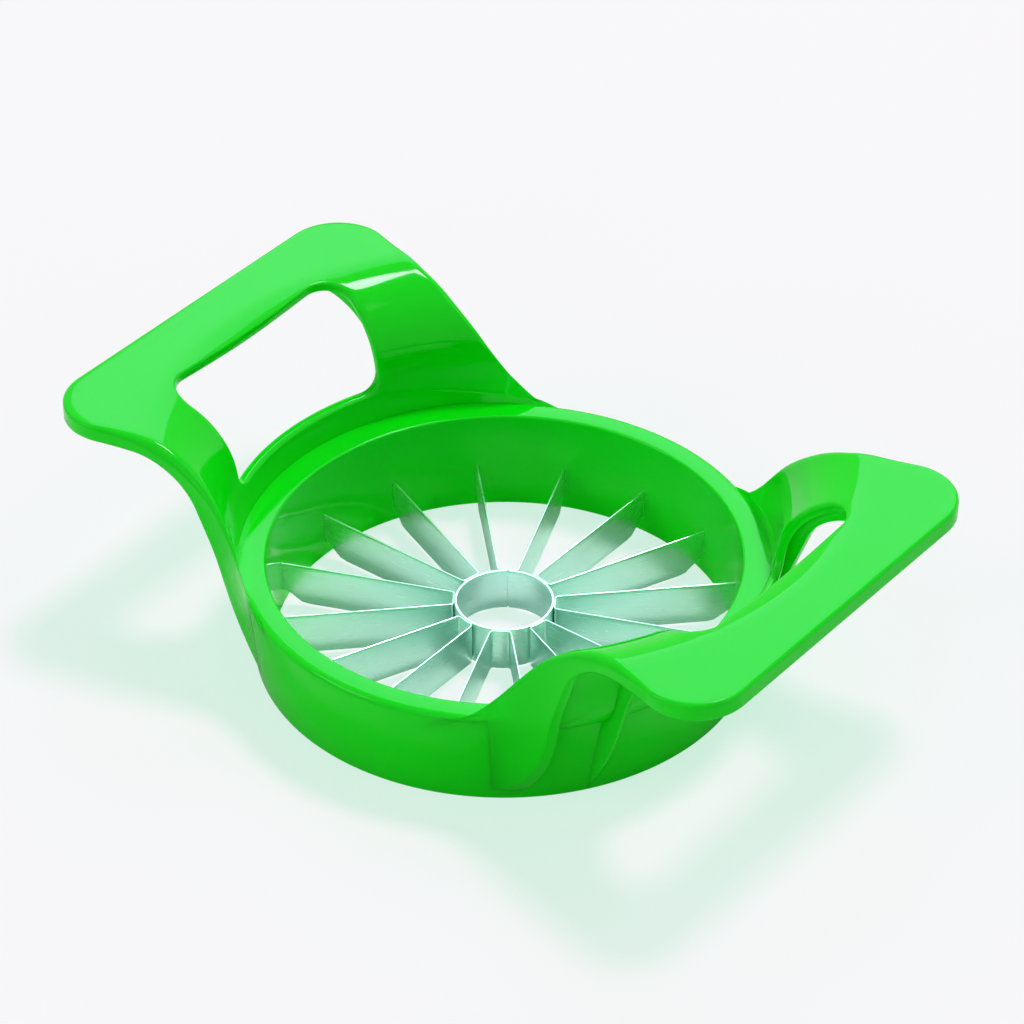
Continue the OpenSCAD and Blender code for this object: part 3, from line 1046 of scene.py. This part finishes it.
@dataclass
class RingWall:
    """Leaning ring wall, spun from its rounded section."""

    inner_top: float = 50.0
    wall: float = 5.6
    height: float = 22.5
    lean: float = 2.8 / 22.5
    inner_lean: float = 1.3 / 22.5
    inner_round: float = 0.5
    outer_round: float = 1.6
    base_inner_round: float = 0.6
    base_outer_round: float = 0.25
    collar_angle: float = 50.0
    collar_end: float = 65.0
    collar_reach: float = 0.7
    reach_angle: float = 44.0
    edge_slack: float = 0.05
    merge_gap: float = 0.002
    round_steps: int = 8
    steps: int = 240

    def inner(self, z: float) -> float:
        """Radius of the inner face at a height."""
        return self.inner_top - (self.height - z) * self.inner_lean

    def build(self) -> bpy.types.Object:
        """Rounds the four corners of the section and spins it.

        Returns:
            The ring wall.
        """
        deselect()
        bpy.ops.mesh.primitive_plane_add(size=self.wall * MM)
        piece = bpy.context.object
        low, high, edge = self.inner(0.0), self.inner_top, self.inner_top + self.wall
        foot = edge - self.height * self.lean
        corners = [(low, 0.0), (foot, 0.0), (high, self.height), (edge, self.height)]
        place(piece, [(r, 0.0, z) for r, z in corners])
        rounds = [self.base_inner_round, self.base_outer_round, self.inner_round, self.outer_round]
        for (r, z), size in zip(corners, rounds):
            spot = Vector((r, 0.0, z)) * MM
            nearest = min(piece.data.vertices, key=lambda v: (v.co - spot).length).index
            edit_select(piece, [nearest])
            bpy.ops.mesh.bevel(offset=size * MM, offset_type="OFFSET", segments=self.round_steps,
                               profile=0.5, affect="VERTICES")
            bpy.ops.object.mode_set(mode="OBJECT")
        bpy.ops.object.mode_set(mode="EDIT")
        bpy.ops.mesh.select_all(action="SELECT")
        bpy.ops.mesh.delete(type="ONLY_FACE")
        bpy.ops.mesh.select_all(action="SELECT")
        bpy.ops.mesh.spin(steps=self.steps, angle=2 * math.pi, center=(0.0, 0.0, 0.0), axis=UP)
        close_mesh(self.merge_gap)
        self.flatten_collars(piece)
        return piece

    def flatten_collars(self, piece: bpy.types.Object) -> None:
        """Opens the rounded outer edge of the rim to a flat under the rises of both handles.

        Args:
            piece: The ring wall.
        """
        edge = self.inner_top + self.wall
        reach = self.outer_round + self.edge_slack
        for vert in piece.data.vertices:
            x, y, z = vert.co / MM
            radius = math.hypot(x, y)
            if z < self.height - reach or radius < edge - reach:
                continue
            angle = math.degrees(math.atan2(abs(y), abs(x)))
            part = ease((self.collar_end - angle) / (self.collar_end - self.collar_angle))
            spread = unit((self.collar_angle - angle) / (self.collar_angle - self.reach_angle))
            across = (radius - edge + self.outer_round) / self.outer_round
            out = 1 + spread * self.collar_reach * across / radius
            vert.co = Vector((x * out, y * out, z + part * (self.height - z))) * MM


@dataclass
class Rib:
    """Straight plate under a leg, with the same sweep along its lower edge as the skirt."""

    form: HandleForm = field(default_factory=HandleForm)
    middle_y: float = 28.0
    thickness: float = 2.0
    low: float = 0.5
    end_x: float = 75.0
    rows: int = 48
    edge_round: float = 0.35
    round_steps: int = 3
    sharp_angle: float = 50.0

    def build(self) -> bpy.types.Object:
        """Shapes a grid between the web and the lower edge, thickens it and rounds its edges.

        Returns:
            The plate on the +Y side of the handle on +X.
        """
        form = self.form
        deselect()
        bpy.ops.mesh.primitive_grid_add(x_subdivisions=1, y_subdivisions=self.rows, size=START_SIZE)
        piece = bpy.context.object
        edge, web = form.skirt_edge, form.top_curve(form.web / 2)
        start = edge.length(edge.radius(self.low))
        stop = edge.length(math.hypot(self.end_x, self.middle_y))
        points = []
        for k in range(self.rows + 1):
            low = edge.at_length(start + (stop - start) * k / self.rows)
            near = int(np.argmin(np.hypot(web.radii - low[0], web.heights - low[1])))
            for r, z in ((float(web.radii[near]), float(web.heights[near])), low):
                points.append((math.sqrt(r * r - self.middle_y ** 2), self.middle_y, z))
        place(piece, points)
        apply_modifier(piece, "SOLIDIFY", thickness=self.thickness * MM, offset=0.0)
        apply_modifier(piece, "BEVEL", width=self.edge_round * MM, segments=self.round_steps,
                       limit_method="ANGLE", angle_limit=math.radians(self.sharp_angle))
        edit_select(piece, [])
        close_mesh()
        return piece


@dataclass
class Body:
    """One-piece moulding: ring wall, two handles and their ribs."""

    ring: RingWall = field(default_factory=RingWall)
    shell: HandleShell = field(default_factory=HandleShell)
    rib: Rib = field(default_factory=Rib)

    def build(self, material: bpy.types.Material) -> bpy.types.Object:
        """Models the parts of the moulding, joins them and dresses them.

        Args:
            material: Plastic of the moulding.

        Returns:
            The finished moulding.
        """
        ring = self.ring.build()
        handle = self.shell.build()
        rib = self.rib.build()
        mirror = turned_copy(rib, 0.0)
        mirror.data.transform(Matrix.Scale(-1.0, 4, Vector((0.0, 1.0, 0.0))))
        mirror.data.flip_normals()
        right = [handle, rib, mirror]
        left = [turned_copy(part, 180.0) for part in right]
        deselect()
        for part in [ring, *right, *left]:
            part.select_set(True)
        bpy.context.view_layer.objects.active = ring
        bpy.ops.object.join()
        smooth(ring)
        dress(ring, "green_body", material, Slot.PLASTIC, "body")
        return ring


@dataclass
class SteelSheet:
    """Thin steel bent along a path, with a ground lower edge."""

    thickness: float = 0.6
    ground_height: float = 1.4
    ground_edge: float = 0.12
    low: float = 0.5
    top_break: float = 0.12
    break_steps: int = 2
    top_slack: float = 0.01
    sharp_angle: float = 30.0

    def bend(self, path: list[tuple[float, float]], feet: list[float], ground: list[bool], high: float,
             rows: int = 8) -> bpy.types.Object:
        """Lays a grid along the path and gives it the thickness of the steel.

        Args:
            path: Plan points of the middle of the sheet.
            feet: Height of the lower edge at each point.
            ground: Whether the lower edge is ground thin at each point.
            high: Height of the upper edge.
            rows: Number of faces over the height above the ground edge.

        Returns:
            The sheet, with a UV map of length and height in metres.
        """
        deselect()
        bpy.ops.mesh.primitive_grid_add(x_subdivisions=len(path) - 1, y_subdivisions=rows + 1,
                                        size=START_SIZE)
        piece = bpy.context.object
        length, lengths = 0.0, []
        for i, (x, y) in enumerate(path):
            length += math.dist((x, y), path[i - 1]) if i else 0.0
            lengths.append(length)
        points, chart, weights = [], [], []
        for k in range(rows + 2):
            for i, (x, y) in enumerate(path):
                foot = feet[i] + self.ground_height
                z = feet[i] if k == 0 else foot + (high - foot) * (k - 1) / rows
                points.append((x, y, z))
                chart.append((lengths[i] * MM, z * MM))
                weights.append(self.ground_edge / self.thickness if k == 0 and ground[i] else 1.0)
        place(piece, points)
        for loop in piece.data.loops:
            piece.data.uv_layers.active.data[loop.index].uv = chart[loop.vertex_index]
        group = piece.vertex_groups.new(name="gauge")
        for index, weight in enumerate(weights):
            group.add([index], weight, "REPLACE")
        apply_modifier(piece, "SOLIDIFY", thickness=self.thickness * MM, offset=0.0, vertex_group="gauge",
                       use_even_offset=True)
        self.break_top(piece, high)
        smooth(piece, self.sharp_angle)
        return piece

    def break_top(self, piece: bpy.types.Object, high: float) -> None:
        """Breaks the sharp edges along the top of the sheet.

        Args:
            piece: The sheet.
            high: Height of its upper edge.
        """
        top = [v.index for v in piece.data.vertices if v.co.z > (high - self.top_slack) * MM]
        edit_select(piece, top)
        bpy.ops.mesh.region_to_loop()
        bpy.ops.mesh.bevel(offset=self.top_break * MM, segments=self.break_steps, profile=0.5,
                           affect="EDGES")
        close_mesh()


@dataclass
class BladeStrips:
    """Eight folded strips with two blades each, between the corer and the ring wall."""

    sheet: SteelSheet = field(default_factory=lambda: SteelSheet(thickness=0.36))
    count: int = 8
    corer_radius: float = 10.6
    fold: float = 0.8
    blade_end: float = 48.4
    tab_end: float = 51.0
    corner_length: float = 4.0
    corner_height: float = 3.0
    high: float = 10.3
    blade_points: int = 26
    fold_points: int = 6
    base_points: int = 10

    def plan(self) -> list[tuple[float, float]]:
        """Middle line of a strip: in along one blade, round its base on the corer and out along the next.

        Returns:
            Plan points in order.
        """
        step = math.radians(360.0 / (2 * self.count))
        base = self.corer_radius + self.sheet.thickness / 2
        inner = math.sqrt((base + self.fold) ** 2 - self.fold ** 2)
        lap = math.degrees(math.asin(self.fold / (base + self.fold)))
        straight = [(self.tab_end + (inner - self.tab_end) * i / self.blade_points, 0.0)
                    for i in range(self.blade_points)]
        bend = arc((inner, self.fold), self.fold, 270.0, 180.0 + lap, self.fold_points + 1)
        half = math.degrees(step) / 2
        middle = arc((0.0, 0.0), base, lap, half, self.base_points // 2 + 1)
        near = straight + bend + middle[1:]
        turn = Matrix.Rotation(step / 2, 2)
        back = []
        for x, y in near[-2::-1]:
            local = turn.inverted() @ Vector((x, y))
            back.append(tuple(turn @ Vector((local.x, -local.y))))
        return near + back

    def build(self, material: bpy.types.Material) -> list[bpy.types.Object]:
        """Models one strip, copies it round the corer and dresses every copy.

        Args:
            material: Steel of the strips.

        Returns:
            The strips in order.
        """
        path = self.plan()
        feet, ground = [], []
        for x, y in path:
            along = unit((math.hypot(x, y) - self.blade_end) / self.corner_length + 1.0)
            feet.append(self.sheet.low + self.corner_height * along)
            ground.append(along == 0.0)
        first = self.sheet.bend(path, feet, ground, self.high)
        step = 360.0 / self.count
        strips = [turned_copy(first, (i - 0.5) * step) for i in range(self.count)]
        bpy.data.objects.remove(first)
        for i, strip in enumerate(strips, start=1):
            dress(strip, f"blade_pair_{i}", material, Slot.STEEL, f"blade_strip_{i}")
        return strips


@dataclass
class Corer:
    """Rolled corer ring with a butt seam."""

    sheet: SteelSheet = field(default_factory=SteelSheet)
    radius: float = 10.6
    high: float = 10.4
    seam_angle: float = 123.75
    seam_width: float = 0.3
    points: int = 121

    def build(self, material: bpy.types.Material) -> bpy.types.Object:
        """Rolls the sheet into the ring and dresses it.

        Args:
            material: Steel of the ring.

        Returns:
            The corer ring.
        """
        middle = self.radius - self.sheet.thickness / 2
        half = math.degrees(self.seam_width / 2 / middle)
        path = arc((0.0, 0.0), middle, self.seam_angle + half, self.seam_angle + 360.0 - half, self.points)
        count = len(path)
        ring = self.sheet.bend(path, [self.sheet.low] * count, [True] * count, self.high)
        dress(ring, "steel_corer", material, Slot.STEEL, "corer_ring")
        return ring


def start_material(name: str) -> tuple[bpy.types.Material, bpy.types.NodeTree, bpy.types.Node]:
    """Starts a node material.

    Args:
        name: Name of the material.

    Returns:
        The material, its node tree and its main shader.
    """
    made = bpy.data.materials.new(name)
    made.use_nodes = True
    return made, made.node_tree, made.node_tree.nodes["Principled BSDF"]


def set_inputs(shader: bpy.types.Node, values: dict) -> None:
    """Sets the values of a shader's sockets by name."""
    for name, value in values.items():
        shader.inputs[name].default_value = value


def vary_surface(tree: bpy.types.NodeTree, pattern: bpy.types.Node, roughness: tuple[float, float],
                 depth_mm: float, strength: float) -> None:
    """Lets a noise pattern vary the roughness of the main shader and raise its surface.

    Args:
        tree: Node tree of the material.
        pattern: Noise that drives both.
        roughness: Roughness where the noise is low and where it is high.
        depth_mm: Height of the relief.
        strength: Share of the relief that shows.
    """
    shader = tree.nodes["Principled BSDF"]
    gloss = add_node(tree, "ShaderNodeMapRange", None, {
        "Value": pattern.outputs[0], "From Min": NOISE_LOW, "From Max": NOISE_HIGH,
        "To Min": roughness[0], "To Max": roughness[1]})
    bump = add_node(tree, "ShaderNodeBump", None, {
        "Height": pattern.outputs[0], "Distance": depth_mm * MM, "Strength": strength})
    tree.links.new(gloss.outputs[0], shader.inputs["Roughness"])
    tree.links.new(bump.outputs[0], shader.inputs["Normal"])


@dataclass(frozen=True)
class GlossyAbs:
    """Injection-moulded ABS: a deep even colour under a tight gloss, faintly wavy from a polished mould.

    Light goes a little way into it, so that thin edges and shaded corners stay green.
    """

    colour: str = "#06E80E"
    sheen: str = "#F0FFFF"
    gloss: float = 0.17
    ior: float = 1.5
    glow_through: float = 0.3
    glow_depth_mm: float = 1.5
    glow_spread: tuple[float, float, float] = (0.2, 1.0, 0.2)
    roughness: tuple[float, float] = (0.06, 0.09)
    wave_mm: float = 6.0
    wave_depth_mm: float = 0.004
    wave_detail: float = 2.0

    def material(self) -> bpy.types.Material:
        """Builds the node material.

        Returns:
            The material.
        """
        made, tree, shader = start_material("moulded_green_abs")
        set_inputs(shader, {
            "Base Color": linear(self.colour), "IOR": self.ior, "Specular IOR Level": self.gloss,
            "Specular Tint": linear(self.sheen), "Subsurface Weight": self.glow_through,
            "Subsurface Scale": self.glow_depth_mm * MM, "Subsurface Radius": self.glow_spread})
        coords = add_node(tree, "ShaderNodeTexCoord")
        wave = add_node(tree, "ShaderNodeTexNoise", None, {
            "Vector": coords.outputs["Object"], "Scale": 1 / (self.wave_mm * MM),
            "Detail": self.wave_detail})
        vary_surface(tree, wave, self.roughness, self.wave_depth_mm, 1.0)
        return made


@dataclass(frozen=True)
class RolledSteel:
    """Cold-rolled stainless strip: a soft mirror drawn out along the rolling direction.

    The real grain is too fine to show, so it is drawn coarser. The steel's grey is its own; the mint in it
    is painted reflection of the green moulding round it.
    """

    # Mint tint is painted reflection of the green moulding that the steel mirrors
    colour: str = "#D6FAF0"
    roughness: tuple[float, float] = (0.26, 0.36)
    grain_mm: float = 0.35
    grain_stretch: float = 18.0
    grain_depth_mm: float = 0.0015
    grain_detail: float = 3.0
    grain_strength: float = 0.6

    def material(self) -> bpy.types.Material:
        """Builds the node material.

        Returns:
            The material.
        """
        made, tree, shader = start_material("rolled_stainless_strip")
        set_inputs(shader, {"Base Color": linear(self.colour), "Metallic": 1.0})
        coords = add_node(tree, "ShaderNodeTexCoord")
        scale = 1 / (self.grain_mm * MM)
        drawn = add_node(tree, "ShaderNodeMapping", None, {
            "Vector": coords.outputs["UV"], "Scale": (scale / self.grain_stretch, scale, 1.0)})
        grain = add_node(tree, "ShaderNodeTexNoise", None, {
            "Vector": drawn.outputs[0], "Scale": 1.0, "Detail": self.grain_detail})
        vary_surface(tree, grain, self.roughness, self.grain_depth_mm, self.grain_strength)
        return made


@dataclass(frozen=True)
class PaleFloor:
    """Frosted pale floor: even and almost white to the eye, and its shadows turn to a light mint.

    Its fibres are drawn coarser than real ones.
    """

    paper: str = "#F0F0F0"
    scatter: str = "#AE6995"
    glow: str = "#C5E7D6"
    roughness: tuple[float, float] = (0.85, 1.0)
    fibre_mm: float = 1.5
    fibre_detail: float = 3.0

    def material(self) -> bpy.types.Material:
        """Builds the node material: pale paper to light and reflections; to the eye a scatter with a glow.

        Returns:
            The material.
        """
        made, tree, shader = start_material("frosted_pale_floor")
        set_inputs(shader, {"Specular IOR Level": 0.0, "Emission Color": linear(self.glow)})
        seen = add_node(tree, "ShaderNodeLightPath").outputs["Is Camera Ray"]
        face = add_node(tree, "ShaderNodeMixRGB", None, {
            "Fac": seen, "Color1": linear(self.paper), "Color2": linear(self.scatter)})
        coords = add_node(tree, "ShaderNodeTexCoord")
        fibre = add_node(tree, "ShaderNodeTexNoise", None, {
            "Vector": coords.outputs["Object"], "Scale": 1 / (self.fibre_mm * MM),
            "Detail": self.fibre_detail})
        rough = add_node(tree, "ShaderNodeMapRange", None, {
            "Value": fibre.outputs[0], "To Min": self.roughness[0], "To Max": self.roughness[1]})
        tree.links.new(face.outputs[0], shader.inputs["Base Color"])
        tree.links.new(seen, shader.inputs["Emission Strength"])
        tree.links.new(rough.outputs[0], shader.inputs["Roughness"])
        return made


def seen_directly(tree: bpy.types.NodeTree) -> bpy.types.Node:
    """Adds the nodes that tell what is seen from what only gives light.

    Args:
        tree: Node tree that takes the nodes.

    Returns:
        Node that gives 1 to the eye, to reflections and through clear material, and 0 otherwise.
    """
    path = add_node(tree, "ShaderNodeLightPath")
    seen = add_node(tree, "ShaderNodeMath", {"operation": "ADD", "use_clamp": True}, {
        0: path.outputs["Is Camera Ray"], 1: path.outputs["Is Glossy Ray"]})
    return add_node(tree, "ShaderNodeMath", {"operation": "ADD", "use_clamp": True}, {
        0: seen.outputs[0], 1: path.outputs["Is Transmission Ray"]})


def toward(azimuth: float, elevation: float) -> Vector:
    """Gives the unit vector from the object towards a bearing, with both angles in degrees."""
    az, el = math.radians(azimuth), math.radians(elevation)
    return Vector((math.sin(az) * math.cos(el), -math.cos(az) * math.cos(el), math.sin(el)))


@dataclass(frozen=True)
class Softbox:
    """Square lamp panel that faces the object, with its sizes in metres.

    Azimuth 0 is the camera's side and 90 the right of the picture.
    """

    name: str
    size: float
    azimuth: float
    elevation: float
    distance: float
    radiance: float
    tint: str = "#FFFFFF"

    def build(self, turn: float) -> None:
        """Adds the panel, with the power that gives its face the radiance.

        Args:
            turn: The camera's azimuth in degrees.
        """
        lamp = bpy.data.lights.new(self.name, "AREA")
        lamp.shape = "SQUARE"
        lamp.size = self.size
        lamp.energy = self.radiance * math.pi * self.size ** 2
        lamp.color = linear(self.tint)[:3]
        panel = bpy.data.objects.new(self.name, lamp)
        away = toward(turn + self.azimuth, self.elevation)
        panel.location = away * self.distance
        panel.rotation_euler = (-away).to_track_quat("-Z", "Y").to_euler()
        bpy.context.scene.collection.objects.link(panel)


@dataclass
class Studio:
    """Floor, lamps, world and camera, in metres where a name doesn't say millimetres."""

    floor_finish: PaleFloor = field(default_factory=PaleFloor)
    floor_size: float = 12.0
    floor_drop: float = 0.00005
    fill: float = 0.25
    backdrop: str = "#F7F7F7"
    lens: float = 158.8
    sensor: float = 36.0
    clip_start: float = 0.05
    azimuth: float = 38.0
    elevation: float = 37.863
    distance_mm: float = 959.14
    aim_right_mm: float = 1.66
    aim_up_mm: float = 26.84
    panels: tuple[Softbox, ...] = (
        Softbox("key_softbox", 1.5, 146.0, 66.0, 8.0, 41.0),
        Softbox("back_softbox", 3.4, 174.0, 40.0, 8.0, 2.8, "#CCF0FF"),
        Softbox("left_softbox", 3.6, 290.0, 28.0, 8.0, 3.2),
        Softbox("front_softbox", 3.0, 335.0, 25.0, 8.0, 1.1),
        Softbox("right_softbox", 4.0, 90.0, 50.0, 8.0, 1.4),
    )

    def build(self) -> None:
        """Sets up everything that isn't part of the object."""
        self.floor()
        self.world()
        for panel in self.panels:
            panel.build(self.azimuth)
        self.camera()
        bpy.context.scene.view_settings.view_transform = "Standard"

    def floor(self) -> None:
        """Lays the floor just below the object."""
        deselect()
        bpy.ops.mesh.primitive_plane_add(size=self.floor_size)
        plane = bpy.context.object
        plane.name = "studio_floor"
        plane.data.transform(Matrix.Translation((0.0, 0.0, -self.floor_drop)))
        plane.data.materials.append(self.floor_finish.material())

    def world(self) -> None:
        """Gives the world a pale backdrop for the eye and reflections, and a weaker fill for the light."""
        world = bpy.data.worlds.new("studio_world")
        bpy.context.scene.world = world
        world.use_nodes = True
        tree = world.node_tree
        back = tree.nodes["Background"]
        back.inputs["Color"].default_value = linear(self.backdrop)
        strength = add_node(tree, "ShaderNodeMapRange", None, {
            "Value": seen_directly(tree).outputs[0], "To Min": self.fill, "To Max": 1.0})
        tree.links.new(strength.outputs[0], back.inputs["Strength"])

    def camera(self) -> None:
        """Places the camera at the photograph's viewing angle."""
        back = toward(self.azimuth, self.elevation)
        right = toward(self.azimuth + 90.0, 0.0)
        up = right.cross(-back)
        aim = right * (self.aim_right_mm * MM) + up * (self.aim_up_mm * MM)
        data = bpy.data.cameras.new("photo_camera")
        data.lens = self.lens
        data.sensor_width = self.sensor
        data.clip_start = self.clip_start
        camera = bpy.data.objects.new("photo_camera", data)
        camera.location = back * (self.distance_mm * MM)
        camera.rotation_euler = (aim - camera.location).to_track_quat("-Z", "Y").to_euler()
        bpy.context.scene.collection.objects.link(camera)
        bpy.context.scene.camera = camera


def main() -> None:
    """Builds the moulding, the steel and the studio."""
    logging.basicConfig(level=logging.INFO, format="%(message)s")
    steel = RolledSteel().material()
    Body().build(GlossyAbs().material())
    Corer().build(steel)
    BladeStrips().build(steel)
    Studio().build()


if __name__ == "__main__":
    main()
